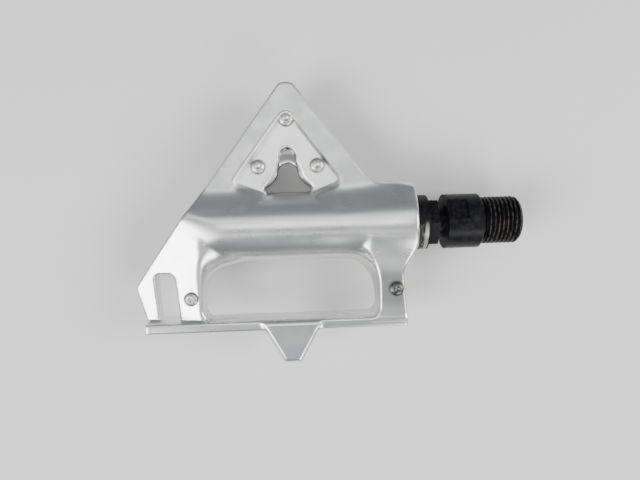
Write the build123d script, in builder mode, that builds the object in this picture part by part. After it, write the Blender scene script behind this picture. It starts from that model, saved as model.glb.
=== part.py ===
from build123d import *
import os
from math import cos, pi, radians, sin, sqrt, tan

# A one-sided toe clip pedal. The origin is on the spindle axis, at the shoulder that meets the crank.
# +X runs along the spindle to the crank, +Y points to the toe and +Z is up out of the riding face.
# All sizes are in millimetres and angles in degrees.

# Spindle outside the barrel
thread_dia = 14.29
thread_length = 12.0
thread_chamfer = 1.0
centre_hole_dia = 3.0
centre_hole_depth = 1.3
collar_dia = 16.4
collar_length = 4.5
flats_across = 15.0
flats_length = 5.9
flats_turn = 30.0
neck_dia = 9.6
neck_length = 2.5

# Lock bolt, which closes the barrel around the neck
neck_gap = 0.5
lock_hex_wall = 1.2
lock_hex_length = 3.0
lock_hex_turn = 30.0
lock_boss_wall = 1.5
lock_boss_length = 4.0
lock_thread_depth = 1.3
lock_thread_length = 8.6
lock_thread_inset = 0.5
seal_wall = 1.9
seal_lip = 0.6
seal_length = 3.0
seal_gap = 0.04

# Bearings
ball_dia = 2.381
ball_pitch_dia = 10.4
ball_gap = 0.2
race_gap = 0.03
race_shoulder_drop = 0.4
cup_wall = 0.88
cup_back = 1.2
cup_recess = 0.2
sleeve_wall = 1.0
slip_fit = 0.02
end_thread_dia = 6.0
cone_back = 2.6
washer_dia = 9.0
washer_thick = 1.2
nut_across = 9.0
nut_length = 4.0
nut_proud = 0.8
end_gap = 2.0

# Barrel of the body
barrel_wall = 1.86
mouth_wall = 2.5
mouth_length = 22.0
bore_step = 1.3
end_wall = 5.4
dome_length = 13.5
dome_overrun = 1.0

# Body plan
mouth_to_centre = 37.1
tip_reach = 41.7
tip_width = 3.94
tip_round = 2.0
edge_lean = 37.2
toe_root_round = 9.5
corner_back = 16.4
corner_round = 2.5
wall_back = 29.8
wall_thick = 3.0
wall_end_inset = 3.7
leg_inset = 3.2
leg_waist_inset = 4.0
leg_root_back = 6.3
leg_waist_back = 14.0
leg_round = 5.5
crank_leg_width = 8.4
outer_leg_width = 8.2
window_barrel_round = 9.0
window_barrel_rise = 12.5
window_wall_round = 3.4
root_bite = 0.15
root_depth = 2.0
root_shares = (0, 0.35, 0.65, 0.85, 1)
root_room_share = 0.75
wall_round_share = 0.3
slot_width = 6.0
slot_rim = 2.5
slot_front_back = 12.8
slot_lean = 4.0
slot_bevel = 0.6
slot_round = 1.6

# Body heights, measured down from the top of the barrel
plate_drop = 4.2
plate_thick = 7.0
leg_drop = 1.2
leg_thick = 11.6
wall_height = 12.0
outer_corner_drop = 2.4
outer_crest_rise = 1.2
outer_root_reach = 4.0
outer_facet_run = 9.1
outer_roll = 0.8
outer_hollow_rise = 1.0
edge_round = 0.7

# Recess and bell-shaped hole in the toe plate
rim_width = 6.1
recess_depth = 1.3
recess_draft = 20.0
recess_tuck = 6.0
recess_apex_round = 1.8
recess_knee_rise = 2.7
recess_foot_drop = 1.0
recess_foot_rim = 1.6
hole_apex_reach = 18.7
hole_apex_width = 5.8
hole_foot_width = 12.9
hole_foot_rise = 1.3
hole_foot_lean = 30.0
hole_bevel = 0.8
hole_tuck = 3.0
ledge_width = 4.6
ledge_reach = 23.6
ledge_depth = 2.2

# Flip tab on the rear wall
tab_root_width = 19.4
tab_end_width = 5.2
tab_reach = 9.7
tab_thick = 5.0
tab_step = 0.6
tab_bevel = 45.0
tab_end_round = 0.8

# Grip studs
stud_head_dia = 4.0
stud_head_height = 1.6
stud_seat_depth = 0.4
stud_seat_gap = 0.25
stud_shank_dia = 2.4
stud_shank_length = 3.6
stud_dimple_dia = 1.5
stud_dimple_depth = 0.3
stud_crown = 0.5
stud_shoulder_drop = 0.15
toe_stud_setback = 10.5
toe_pair_reach = 17.7
toe_pair_spread = 17.2
rear_outer_stud_inset = 3.4
rear_crank_stud_inset = 3.3
rear_outer_stud_back = 20.0
rear_crank_stud_back = 18.6

# Tapped holes for the toe clip, under the toe plate
clip_hole_dia = 4.2
clip_hole_depth = 7.0
clip_hole_spacing = 12.0
clip_hole_reach = 26.0
clip_pad_rim = 2.0
clip_pad_height = 3.0

# Stations along the spindle, from the crank inwards
flats_x = -collar_length
neck_x = flats_x - flats_length
lock_hex_x = neck_x - neck_length
lock_boss_x = lock_hex_x - lock_hex_length
mouth_x = lock_boss_x - lock_boss_length
sleeve_x = mouth_x - lock_thread_length
centre_x = mouth_x - mouth_to_centre
leg_x = mouth_x - leg_inset
leg_waist_x = mouth_x - leg_waist_inset

# Radii of the nested bearing parts, from the ball row outwards
neck_r = neck_dia / 2
pitch_r = ball_pitch_dia / 2
race_r = ball_dia / 2 + race_gap
inner_race_r = pitch_r - race_r
outer_race_r = pitch_r + race_r
race_shoulder_r = pitch_r - race_shoulder_drop
race_shoulder_run = sqrt(race_r**2 - race_shoulder_drop**2)
cup_r = outer_race_r + cup_wall
sleeve_bore_r = cup_r + slip_fit
sleeve_r = sleeve_bore_r + sleeve_wall
bore_r = sleeve_r + slip_fit
tail_bore_r = bore_r - bore_step
barrel_r = bore_r + barrel_wall
end_thread_r = end_thread_dia / 2

# Radii of the lock bolt, from the neck outwards
lock_bore_r = neck_r + neck_gap
seal_r = neck_r + seal_wall
lock_boss_r = seal_r + lock_boss_wall
lock_thread_r = lock_boss_r + lock_thread_depth
mouth_r = lock_thread_r + slip_fit + mouth_wall

# Outline of the body: the outer edge runs straight from the tip to the outer corner
lean = tan(radians(edge_lean))
tip_outer_x = centre_x - tip_width / 2
tip_crank_x = centre_x + tip_width / 2
corner_x = tip_outer_x - (tip_reach + corner_back) * lean
wall_end_x = corner_x + wall_end_inset
wall_front = wall_back - wall_thick
toe_root_x = tip_crank_x + (tip_reach - mouth_r) * lean
edge_x = tip_outer_x - tip_reach * lean
slot_x = wall_end_x + slot_rim
slot_inner_x = slot_x + slot_width
slot_slant = (wall_front - slot_front_back) * tan(radians(slot_lean))
window_x = slot_inner_x + outer_leg_width
window_crank_x = leg_x - crank_leg_width
window_room = wall_front - barrel_r
plate_top = barrel_r - plate_drop
leg_top = barrel_r - leg_drop
plate_bottom = plate_top - plate_thick
leg_bottom = leg_top - leg_thick
recess_floor = plate_top - recess_depth

# The bore stops short of the outer edge, and the outer bearing is set from there
dome_x = edge_x - dome_overrun + dome_length
bore_end_x = tip_outer_x - (tip_reach - tail_bore_r) * lean + end_wall
spindle_end_x = bore_end_x + end_gap
nut_x = spindle_end_x + nut_proud
washer_x = nut_x + nut_length
cone_x = washer_x + washer_thick
outer_row_x = cone_x + cone_back + race_shoulder_run
sleeve_end_x = outer_row_x - race_r - cup_recess
crank_row_x = sleeve_x - race_r - cup_recess
seal_x = lock_boss_x - seal_lip

# The outer plate's top is one slope, low at the outer corner, which runs up to the crown of the barrel
outer_root_x = tip_outer_x - (tip_reach - outer_root_reach) * lean
outer_corner_top = Vector(corner_x, -corner_back, plate_top - outer_corner_drop)
outer_facet_top = Vector(edge_x + outer_facet_run, 0, barrel_r)
outer_crest_top = Vector(
    window_x - rear_outer_stud_inset,
    -rear_outer_stud_back,
    plate_top + outer_crest_rise,
)
outer_slope_plane = Plane(
    origin=outer_corner_top,
    x_dir=outer_facet_top - outer_corner_top,
    z_dir=(outer_crest_top - outer_corner_top).cross(outer_facet_top - outer_corner_top),
)

# Hollows where the barrel runs into the legs
root_rise = min(window_barrel_rise, root_room_share * window_room)
wall_round = min(window_wall_round, wall_round_share * window_room)
root_walls = (
    (window_crank_x, 1, leg_bottom, leg_top),
    (window_x, -1, plate_bottom, plate_top + outer_hollow_rise),
)

# Recess edges run parallel to the outline, a rim's width inside it, and turn in above the barrel
recess_apex = tip_reach + tip_width / 2 / lean - rim_width / sin(radians(edge_lean))
recess_back = barrel_r - recess_tuck
recess_knee_y = barrel_r + recess_knee_rise
recess_knee_half = (recess_apex - recess_knee_y) * lean
recess_foot_y = barrel_r - recess_foot_drop
recess_foot_half = hole_foot_width / 2 + recess_foot_rim
hole_back = barrel_r - hole_tuck
hole_foot_y = barrel_r + hole_foot_rise
hole_apex_r = hole_apex_width / 2
hole_arch_y = hole_apex_reach - hole_apex_r
outer_edge_plane = Plane(
    origin=(tip_outer_x, tip_reach, 0),
    x_dir=(0, 0, 1),
    z_dir=(-cos(radians(edge_lean)), sin(radians(edge_lean)), 0),
)

# Seats of the grip studs: each is a plane on the face that the stud stands on
stud_seats = {
    "toe_stud": Plane((centre_x, tip_reach - toe_stud_setback, recess_floor)),
    "toe_outer_stud": Plane((centre_x - toe_pair_spread / 2, toe_pair_reach, recess_floor)),
    "toe_crank_stud": Plane((centre_x + toe_pair_spread / 2, toe_pair_reach, recess_floor)),
    "rear_outer_stud": Plane(outer_crest_top, z_dir=outer_slope_plane.z_dir),
    "rear_crank_stud": Plane((leg_x - rear_crank_stud_inset, -rear_crank_stud_back, leg_top)),
}
stud_shank_r = stud_shank_dia / 2
stud_head_r = stud_head_dia / 2

ball_count = int(pi * ball_pitch_dia / (ball_dia + ball_gap))

os.makedirs("parts", exist_ok=True)


# Casting of the body, in one piece
with BuildPart() as pedal_body:
    # Outer plate: its top rises from the outer corner to a rolled edge at the window
    with BuildSketch(Plane.XY.offset(plate_bottom)):
        with BuildLine():
            Polyline(
                (outer_root_x, outer_root_reach),
                (corner_x, -corner_back),
                (wall_end_x, -wall_back),
                (window_x + wall_round, -wall_back),
                (window_x + wall_round, wall_round - wall_front),
                (window_x, wall_round - wall_front),
                (window_x, outer_root_reach),
                close=True,
            )
        make_face()
    extrude(amount=mouth_r - plate_bottom)
    corner = pedal_body.edges().filter_by(Axis.Z).sort_by_distance((corner_x, -corner_back, 0))[0]
    fillet(corner, radius=corner_round)
    split(bisect_by=outer_slope_plane, keep=Keep.BOTTOM)
    window_edge = pedal_body.edges().filter_by_position(Axis.X, window_x, window_x).sort_by(Axis.Z)[-1]
    fillet(window_edge, radius=outer_roll)
    slope_edges = pedal_body.faces().filter_by(outer_slope_plane)[0].edges()
    slope_rim = slope_edges.filter_by(lambda e: e.center().X < slot_inner_x and e.center().Y > -wall_front)
    fillet(slope_rim, radius=edge_round)

    # Shoulder that carries the round of the barrel on to the outer edge, under the same slope
    with BuildSketch(Plane.YZ.offset(dome_x)):
        Circle(barrel_r)
        with Locations((0, plate_bottom)):
            Rectangle(2 * barrel_r, barrel_r, align=(Align.CENTER, Align.MAX), mode=Mode.SUBTRACT)
    extrude(amount=-dome_length)
    split(bisect_by=outer_slope_plane, keep=Keep.BOTTOM)

    # Flat toe plate
    with BuildSketch(Plane.XY.offset(plate_bottom)) as toe_outline:
        with BuildLine():
            Polyline(
                (tip_outer_x, tip_reach),
                (edge_x, 0),
                (mouth_x, 0),
                (mouth_x, mouth_r),
                (toe_root_x, mouth_r),
                (tip_crank_x, tip_reach),
                close=True,
            )
        make_face()
        fillet(toe_outline.vertices().group_by(Axis.Y)[-1], radius=tip_round)
        toe_root = toe_outline.vertices().sort_by_distance((toe_root_x, mouth_r))[0]
        fillet(toe_root, radius=toe_root_round)
    extrude(amount=plate_thick)
    toe_edges = pedal_body.edges().filter_by_position(Axis.Z, plate_top, plate_top)
    fillet(toe_edges.filter_by(lambda e: e.center().Y > mouth_r - edge_round), radius=edge_round)

    # Shallow recess in the toe plate, with sloping walls
    with BuildSketch(Plane.XY.offset(plate_top)) as recess:
        with BuildLine():
            Polyline(
                (centre_x, recess_apex),
                (centre_x - recess_knee_half, recess_knee_y),
                (centre_x - recess_foot_half, recess_foot_y),
                (centre_x - recess_foot_half, recess_back),
                (centre_x + recess_foot_half, recess_back),
                (centre_x + recess_foot_half, recess_foot_y),
                (centre_x + recess_knee_half, recess_knee_y),
                close=True,
            )
        make_face()
        fillet(recess.vertices().sort_by(Axis.Y)[-1], radius=recess_apex_round)
    extrude(amount=-recess_depth, taper=recess_draft, mode=Mode.SUBTRACT)

    # Bell-shaped hole through the recess
    with BuildSketch(Plane.XY.offset(plate_bottom)):
        with BuildLine():
            arch = ThreePointArc(
                (centre_x - hole_apex_r, hole_arch_y),
                (centre_x, hole_apex_reach),
                (centre_x + hole_apex_r, hole_arch_y),
            )
            crank_flare = Spline(
                arch @ 1,
                (centre_x + hole_foot_width / 2, hole_foot_y),
                tangents=((0, -1), (cos(radians(hole_foot_lean)), -sin(radians(hole_foot_lean)))),
            )
            outer_flare = Spline(
                arch @ 0,
                (centre_x - hole_foot_width / 2, hole_foot_y),
                tangents=((0, -1), (-cos(radians(hole_foot_lean)), -sin(radians(hole_foot_lean)))),
            )
            Polyline(
                outer_flare @ 1,
                (centre_x - hole_foot_width / 2, hole_back),
                (centre_x + hole_foot_width / 2, hole_back),
                crank_flare @ 1,
            )
        make_face()
    extrude(amount=plate_thick, mode=Mode.SUBTRACT)
    floor_edges = pedal_body.edges().filter_by_position(Axis.Z, recess_floor, recess_floor)
    bell_rim = floor_edges.filter_by_position(
        Axis.X, centre_x - hole_foot_width / 2, centre_x + hole_foot_width / 2
    )
    chamfer(bell_rim.filter_by_position(Axis.Y, hole_back, hole_apex_reach), length=hole_bevel)

    # Ledge scooped out of the recess at the apex of the hole
    with BuildSketch(Plane.XY.offset(recess_floor)):
        with Locations((centre_x, ledge_reach - ledge_width)):
            SlotOverall(2 * ledge_width, ledge_width, rotation=90)
    extrude(amount=-ledge_depth, mode=Mode.SUBTRACT)

    # Pad for the toe clip, under the toe plate
    with BuildSketch(Plane.XY.offset(plate_bottom)):
        with Locations((centre_x, clip_hole_reach)):
            SlotCenterToCenter(clip_hole_spacing, clip_hole_dia + 2 * clip_pad_rim)
    extrude(amount=-clip_pad_height)

    # Crank-side leg, which swells to meet the mouth of the barrel
    with BuildSketch(Plane.XY.offset(leg_bottom)):
        with BuildLine():
            Polyline(
                (centre_x, 0),
                (mouth_x, 0),
                (mouth_x, -leg_root_back),
                (leg_waist_x, -leg_waist_back),
                (leg_x, -wall_back),
                (centre_x, -wall_back),
                close=True,
            )
        leg_outline = make_face()
        leg_bends = leg_outline.vertices().filter_by_position(Axis.Y, -leg_waist_back, -leg_root_back)
        fillet(leg_bends, radius=leg_round)
    extrude(amount=leg_thick)
    leg_edges = pedal_body.edges().filter_by_position(Axis.Z, leg_top, leg_top)
    fillet(leg_edges.filter_by_position(Axis.X, leg_waist_x, mouth_x), radius=edge_round)

    # Rear wall along the back of both legs
    with BuildSketch(Plane.YZ.offset(wall_end_x)) as wall_section:
        with Locations((-wall_back + wall_thick / 2, leg_top - wall_height / 2)):
            Rectangle(wall_thick, wall_height)
        fillet(wall_section.vertices().group_by(Axis.Z)[-1], radius=edge_round)
    extrude(amount=leg_x - wall_end_x)

    # Window between the legs
    with BuildSketch(Plane.XY.offset(leg_top - wall_height)) as window:
        with Locations(((window_x + window_crank_x) / 2, -wall_front / 2)):
            Rectangle(window_crank_x - window_x, wall_front)
        fillet(window.vertices().group_by(Axis.Y)[0], radius=wall_round)
    extrude(amount=wall_height, mode=Mode.SUBTRACT)

    # Strap slot in the outer plate, leaning a little and bevelled along its upper edge
    with BuildSketch(Plane.XY.offset(plate_bottom)) as slot:
        with BuildLine():
            Polyline(
                (slot_x, -slot_front_back),
                (slot_inner_x, -slot_front_back),
                (slot_inner_x + slot_slant, -wall_front),
                (slot_x + slot_slant, -wall_front),
                close=True,
            )
        make_face()
        fillet(slot.vertices().group_by(Axis.Y)[-1], radius=slot_round)
    extrude(amount=leg_top - plate_bottom, mode=Mode.SUBTRACT)
    slope_edges = pedal_body.faces().filter_by(outer_slope_plane)[0].edges()
    slot_edges = slope_edges.filter_by_position(Axis.X, slot_x, slot_inner_x + slot_slant)
    chamfer(slot_edges.filter_by_position(Axis.Y, -wall_front, -slot_front_back), length=slot_bevel)

    # Barrel with its flared mouth and domed outer end
    with BuildSketch(Plane.XY):
        with BuildLine():
            rim = Line((mouth_x, 0), (mouth_x, mouth_r))
            flare = Spline(
                (mouth_x, mouth_r),
                (mouth_x - mouth_length, barrel_r),
                tangents=((-1, 0), (-1, 0)),
            )
            Line(flare @ 1, (dome_x, barrel_r))
            EllipticalCenterArc((dome_x, 0), dome_length, barrel_r, start_angle=90, arc_size=90)
            Line((dome_x - dome_length, 0), rim @ 0)
        make_face()
    revolve(axis=Axis.X)

    # Below the mouth, the crank end is cut back along the outline of the leg
    with BuildSketch(Plane.XY.offset(-mouth_r)) as cope:
        with BuildLine():
            Polyline(
                (mouth_x, -leg_root_back + leg_round),
                (mouth_x, -leg_root_back),
                (leg_waist_x, -leg_waist_back),
                (leg_x, -wall_back),
                (0, -wall_back),
                (0, -leg_root_back + leg_round),
                close=True,
            )
        make_face()
        cope_bends = cope.vertices().filter_by_position(Axis.Y, -leg_waist_back, -leg_root_back)
        fillet(cope_bends, radius=leg_round)
    extrude(amount=2 * mouth_r, mode=Mode.SUBTRACT)

    # The barrel runs into both legs in a wide hollow, which rounds the window's corners
    for wall_x, side, low, high in root_walls:
        for share in root_shares:
            level = low + share * (high - low)
            flank = sqrt(barrel_r**2 - level**2)
            on_leg = Vector(wall_x + side * root_bite, root_bite - flank - root_rise)
            on_barrel = Vector(wall_x - side * (window_barrel_round - root_bite), root_bite - flank)
            with BuildSketch(Plane.XY.offset(level)):
                with BuildLine():
                    EllipticalCenterArc(
                        (on_barrel.X, on_leg.Y),
                        window_barrel_round,
                        root_rise,
                        start_angle=90 - 90 * side,
                        arc_size=90 * side,
                    )
                    Polyline(
                        on_leg,
                        (wall_x + side * root_depth, on_leg.Y),
                        (wall_x + side * root_depth, on_barrel.Y + root_depth),
                        (on_barrel.X, on_barrel.Y + root_depth),
                        on_barrel,
                    )
                make_face()
        loft()
    split(bisect_by=outer_edge_plane, keep=Keep.BOTTOM)

    # Flip tab, a little above the rear wall, with bevelled sides
    with BuildSketch(Plane.XY.offset(leg_top)) as tab:
        with BuildLine():
            Polyline(
                (centre_x - tab_root_width / 2, -wall_front),
                (centre_x - tab_end_width / 2, -wall_back - tab_reach),
                (centre_x + tab_end_width / 2, -wall_back - tab_reach),
                (centre_x + tab_root_width / 2, -wall_front),
                close=True,
            )
        make_face()
        fillet(tab.vertices().group_by(Axis.Y)[0], radius=tab_end_round)
    extrude(amount=-tab_thick)
    extrude(tab.sketch, amount=tab_step, taper=tab_bevel)

    # Stepped bore for the axle unit, closed at the outer end
    with BuildSketch(Plane.XY):
        with BuildLine():
            Polyline(
                (mouth_x, 0),
                (mouth_x, lock_thread_r + slip_fit),
                (sleeve_x, lock_thread_r + slip_fit),
                (sleeve_x, bore_r),
                (sleeve_end_x, bore_r),
                (sleeve_end_x, tail_bore_r),
                (bore_end_x, tail_bore_r),
                (bore_end_x, 0),
                close=True,
            )
        make_face()
    revolve(axis=Axis.X, mode=Mode.SUBTRACT)

    # Seats of the grip studs
    with Locations(*stud_seats.values()):
        CounterBoreHole(
            radius=stud_shank_r + slip_fit,
            counter_bore_radius=stud_head_r + stud_seat_gap,
            counter_bore_depth=stud_seat_depth,
            depth=stud_seat_depth + stud_shank_length,
        )

    # Tapped holes for the toe clip, from below
    with BuildSketch(Plane.XY.offset(plate_bottom - clip_pad_height)):
        with Locations((centre_x, clip_hole_reach)):
            with GridLocations(clip_hole_spacing, 0, 2, 1):
                Circle(clip_hole_dia / 2)
    extrude(amount=clip_hole_depth, mode=Mode.SUBTRACT)

pedal_body.part.label = "pedal_body"
export_step(pedal_body.part, "parts/pedal_body.step")


# Grip studs: a domed head with a dimple, and a shank driven into the casting
for stud_name, seat in stud_seats.items():
    seat_bottom = seat.offset(-stud_seat_depth)
    stud_section = Plane(seat_bottom.origin, x_dir=seat.x_dir, z_dir=-seat.y_dir)
    with BuildPart() as stud:
        with BuildSketch(stud_section):
            with BuildLine():
                Polyline(
                    (0, stud_head_height - stud_dimple_depth),
                    (0, -stud_shank_length),
                    (stud_shank_r, -stud_shank_length),
                    (stud_shank_r, 0),
                    (stud_head_r, 0),
                    (stud_head_r, stud_head_height - stud_crown),
                )
                ThreePointArc(
                    (stud_head_r, stud_head_height - stud_crown),
                    ((stud_head_r + stud_dimple_dia / 2) / 2, stud_head_height - stud_shoulder_drop),
                    (stud_dimple_dia / 2, stud_head_height),
                )
                Line((stud_dimple_dia / 2, stud_head_height), (0, stud_head_height - stud_dimple_depth))
            make_face()
        revolve(axis=Axis(seat.origin, seat.z_dir))
    stud.part.label = stud_name
    export_step(stud.part, f"parts/{stud_name}.step")


# Lock bolt: threaded collar, boss and tool hexagon around the neck of the spindle
with BuildPart() as lock_bolt:
    with BuildSketch(Plane.XY):
        with BuildLine():
            Polyline(
                (lock_boss_x, lock_bore_r),
                (lock_boss_x, lock_boss_r),
                (mouth_x - lock_thread_inset, lock_boss_r),
                (mouth_x - lock_thread_inset, lock_thread_r),
                (sleeve_x, lock_thread_r),
                (sleeve_x, seal_r + slip_fit),
                (seal_x, seal_r + slip_fit),
                (seal_x, lock_bore_r),
                close=True,
            )
        make_face()
    revolve(axis=Axis.X)
    with BuildSketch(Plane.YZ.offset(lock_boss_x)):
        RegularPolygon(lock_bore_r + lock_hex_wall, 6, major_radius=False, rotation=lock_hex_turn)
        Circle(lock_bore_r, mode=Mode.SUBTRACT)
    extrude(amount=lock_hex_length)
lock_bolt.part.label = "lock_bolt"
export_step(lock_bolt.part, "parts/lock_bolt.step")


# Rubber ring behind the lip of the lock bolt
with BuildPart() as spindle_seal:
    with BuildSketch(Plane.YZ.offset(seal_x)):
        Circle(seal_r)
        Circle(neck_r + seal_gap, mode=Mode.SUBTRACT)
    extrude(amount=-seal_length)
spindle_seal.part.label = "spindle_seal"
export_step(spindle_seal.part, "parts/spindle_seal.step")


# Steel sleeve that holds both bearings
with BuildPart() as bearing_sleeve:
    with BuildSketch(Plane.YZ.offset(sleeve_end_x)):
        Circle(sleeve_r)
        Circle(sleeve_bore_r, mode=Mode.SUBTRACT)
    extrude(amount=sleeve_x - sleeve_end_x)
bearing_sleeve.part.label = "bearing_sleeve"
export_step(bearing_sleeve.part, "parts/bearing_sleeve.step")


# Bearing cups, one facing each end of the sleeve, each with its row of loose balls
for row_name, row_x, out in (("crank_side", crank_row_x, 1), ("outer", outer_row_x, -1)):
    with BuildPart() as cup:
        with BuildSketch(Plane.XY):
            with BuildLine():
                race = Polyline(
                    (row_x, outer_race_r),
                    (row_x + out * race_r, outer_race_r),
                    (row_x + out * race_r, cup_r),
                    (row_x - out * (race_r + cup_back), cup_r),
                    (row_x - out * (race_r + cup_back), pitch_r),
                    (row_x - out * race_r, pitch_r),
                )
                RadiusArc(race @ 1, race @ 0, out * race_r)
            make_face()
        revolve(axis=Axis.X)
    cup.part.label = f"{row_name}_cup"
    export_step(cup.part, f"parts/{row_name}_cup.step")

    with BuildPart() as balls:
        with Locations(Plane.YZ.offset(row_x)):
            with PolarLocations(pitch_r, ball_count):
                Sphere(ball_dia / 2)
    balls.part.label = f"{row_name}_balls"
    export_step(balls.part, f"parts/{row_name}_balls.step")


# Adjusting cone on the outer end of the spindle
with BuildPart() as outer_cone:
    with BuildSketch(Plane.XY):
        with BuildLine():
            cone_side = Polyline(
                (outer_row_x, inner_race_r),
                (outer_row_x + race_r, inner_race_r),
                (outer_row_x + race_r, end_thread_r + slip_fit),
                (cone_x, end_thread_r + slip_fit),
                (cone_x, race_shoulder_r),
                (outer_row_x - race_shoulder_run, race_shoulder_r),
            )
            RadiusArc(cone_side @ 1, cone_side @ 0, -race_r)
        make_face()
    revolve(axis=Axis.X)
outer_cone.part.label = "outer_cone"
export_step(outer_cone.part, "parts/outer_cone.step")


# Washer between the cone and its lock nut
with BuildPart() as lock_washer:
    with BuildSketch(Plane.YZ.offset(washer_x)):
        Circle(washer_dia / 2)
        Circle(end_thread_r + slip_fit, mode=Mode.SUBTRACT)
    extrude(amount=washer_thick)
lock_washer.part.label = "lock_washer"
export_step(lock_washer.part, "parts/lock_washer.step")


# Lock nut
with BuildPart() as lock_nut:
    with BuildSketch(Plane.YZ.offset(nut_x)):
        RegularPolygon(nut_across / 2, 6, major_radius=False)
        Circle(end_thread_r + slip_fit, mode=Mode.SUBTRACT)
    extrude(amount=nut_length)
lock_nut.part.label = "lock_nut"
export_step(lock_nut.part, "parts/lock_nut.step")


# Spindle: crank thread, collar, wrench flats, neck, inner race and the thread for the cone
with BuildPart() as spindle:
    with BuildSketch(Plane.XY):
        with BuildLine():
            crank_end = Polyline(
                (crank_row_x + race_shoulder_run, race_shoulder_r),
                (sleeve_x, neck_r),
                (neck_x, neck_r),
                (neck_x, collar_dia / 2),
                (0, collar_dia / 2),
                (0, thread_dia / 2),
                (thread_length - thread_chamfer, thread_dia / 2),
                (thread_length, thread_dia / 2 - thread_chamfer),
                (thread_length, centre_hole_dia / 2),
                (thread_length - centre_hole_depth, 0),
                (spindle_end_x, 0),
                (spindle_end_x, end_thread_r),
                (outer_row_x + race_r + end_gap, end_thread_r),
                (outer_row_x + race_r + end_gap, inner_race_r),
                (crank_row_x, inner_race_r),
            )
            RadiusArc(crank_end @ 1, crank_end @ 0, -race_r)
        make_face()
    revolve(axis=Axis.X)
    with BuildSketch(Plane.YZ.offset(neck_x)):
        Circle(collar_dia)
        Rectangle(2 * collar_dia, flats_across, rotation=-flats_turn, mode=Mode.SUBTRACT)
    extrude(amount=flats_length, mode=Mode.SUBTRACT)
spindle.part.label = "spindle"
export_step(spindle.part, "parts/spindle.step")
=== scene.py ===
from math import cos, pi, radians, sin, tan

import bmesh
import bpy
import numpy as np
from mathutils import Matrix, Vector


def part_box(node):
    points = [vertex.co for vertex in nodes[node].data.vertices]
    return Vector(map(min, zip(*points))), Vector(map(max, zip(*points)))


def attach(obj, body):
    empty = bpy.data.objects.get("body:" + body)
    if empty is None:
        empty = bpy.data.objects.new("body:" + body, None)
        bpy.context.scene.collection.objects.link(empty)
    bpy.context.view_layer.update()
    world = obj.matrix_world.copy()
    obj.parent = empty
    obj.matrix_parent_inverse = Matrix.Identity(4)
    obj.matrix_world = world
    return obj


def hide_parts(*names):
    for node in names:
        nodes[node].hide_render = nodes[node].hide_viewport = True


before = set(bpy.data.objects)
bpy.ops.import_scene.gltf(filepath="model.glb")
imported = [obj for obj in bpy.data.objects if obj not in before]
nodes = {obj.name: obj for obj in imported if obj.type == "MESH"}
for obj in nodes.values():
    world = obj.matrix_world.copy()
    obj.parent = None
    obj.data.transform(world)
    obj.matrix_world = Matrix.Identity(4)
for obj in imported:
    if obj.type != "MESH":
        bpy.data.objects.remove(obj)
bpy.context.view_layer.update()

import openvdb
from mathutils import Matrix, Vector


# Pedal body: barrel, toe plate, outer plate, crank leg, rear strip and flip tab, cast in one piece in
# aluminium. The flat tops of the rim, the strip and the tab are ground; the rest is as cast, with soft
# roots. It is a field of distances in millimetres, skinned at the zero level and taken to metres.
body_step = 0.43
body_low = np.array((-104.0, -41.0, -13.5))
body_high = np.array((-19.0, 42.5, 13.5))
barrel_r, mouth_r, mouth_x, flare_length = 10.2, 12.02, -19.9, 22.0
dome_x, dome_length = -78.12, 13.5
centre_x, tip_y, tip_half, edge_angle = -57.0, 41.7, 1.97, radians(37.2)
edge_slope = tan(edge_angle)
edge_foot_x, corner_x, corner_y = -90.62, -103.07, -16.4
wall_end_x, wall_back, wall_front, leg_x = -99.37, -29.8, -26.8, -23.1
window_x, window_crank_x = -82.67, -31.5
plate_low, plate_high, leg_low, leg_high = -1.0, 6.0, -2.6, 9.0

body_counts = np.ceil((body_high - body_low) / body_step).astype(int)
x, y, z = np.meshgrid(
    *(low + body_step * np.arange(count) for low, count in zip(body_low, body_counts)),
    indexing="ij", sparse=True)
aside = abs(x - centre_x)


def rounded(corners, arc_points=9):
    """Plan outline with its corners turned into arcs; each corner is (x, y, radius)."""
    points = []
    for i, (px, py, r) in enumerate(corners):
        p = np.array((px, py))
        a = np.array(corners[i - 1][:2]) - p
        b = np.array(corners[(i + 1) % len(corners)][:2]) - p
        a, b = a / np.linalg.norm(a), b / np.linalg.norm(b)
        half = np.arccos(np.clip(a @ b, -1, 1)) / 2
        if r == 0:
            points.append(p)
            continue
        centre = p + (a + b) / np.linalg.norm(a + b) * r / sin(half)
        start, end = p + a * r / tan(half) - centre, p + b * r / tan(half) - centre
        for t in np.linspace(0, 1, arc_points):
            spoke = start * (1 - t) + end * t
            points.append(centre + spoke / np.linalg.norm(spoke) * r)
    return points


def plan(outline):
    """Signed distance in plan from a closed outline, negative inside."""
    nearest, inside = np.inf, False
    for (ax, ay), (bx, by) in zip(outline, outline[1:] + outline[:1]):
        ex, ey = bx - ax, by - ay
        along = np.clip(((x - ax) * ex + (y - ay) * ey) / (ex * ex + ey * ey), 0, 1)
        nearest = np.minimum(nearest, (x - ax - along * ex) ** 2 + (y - ay - along * ey) ** 2)
        if ey:
            inside = inside ^ (((ay > y) != (by > y)) & (x < ax + (y - ay) * ex / ey))
    return np.where(inside, -1, 1) * np.sqrt(nearest)


def slab(outline, low, high, r):
    """Plate between two heights, with its edges rounded by r."""
    a, b = outline + r, np.maximum(low - z, z - high) + r
    return np.minimum(np.maximum(a, b), 0) + np.hypot(np.maximum(a, 0), np.maximum(b, 0)) - r


def fuse(a, b, r):
    """Both shapes as one, with a hollow of radius r where they meet."""
    return np.maximum(r, np.minimum(a, b)) - np.hypot(np.maximum(r - a, 0), np.maximum(r - b, 0))


def carve(a, b, r):
    """The first shape without the second, with the cut's rim rounded by r."""
    return np.minimum(-r, np.maximum(a, -b)) + np.hypot(np.maximum(r + a, 0), np.maximum(r - b, 0))


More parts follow.
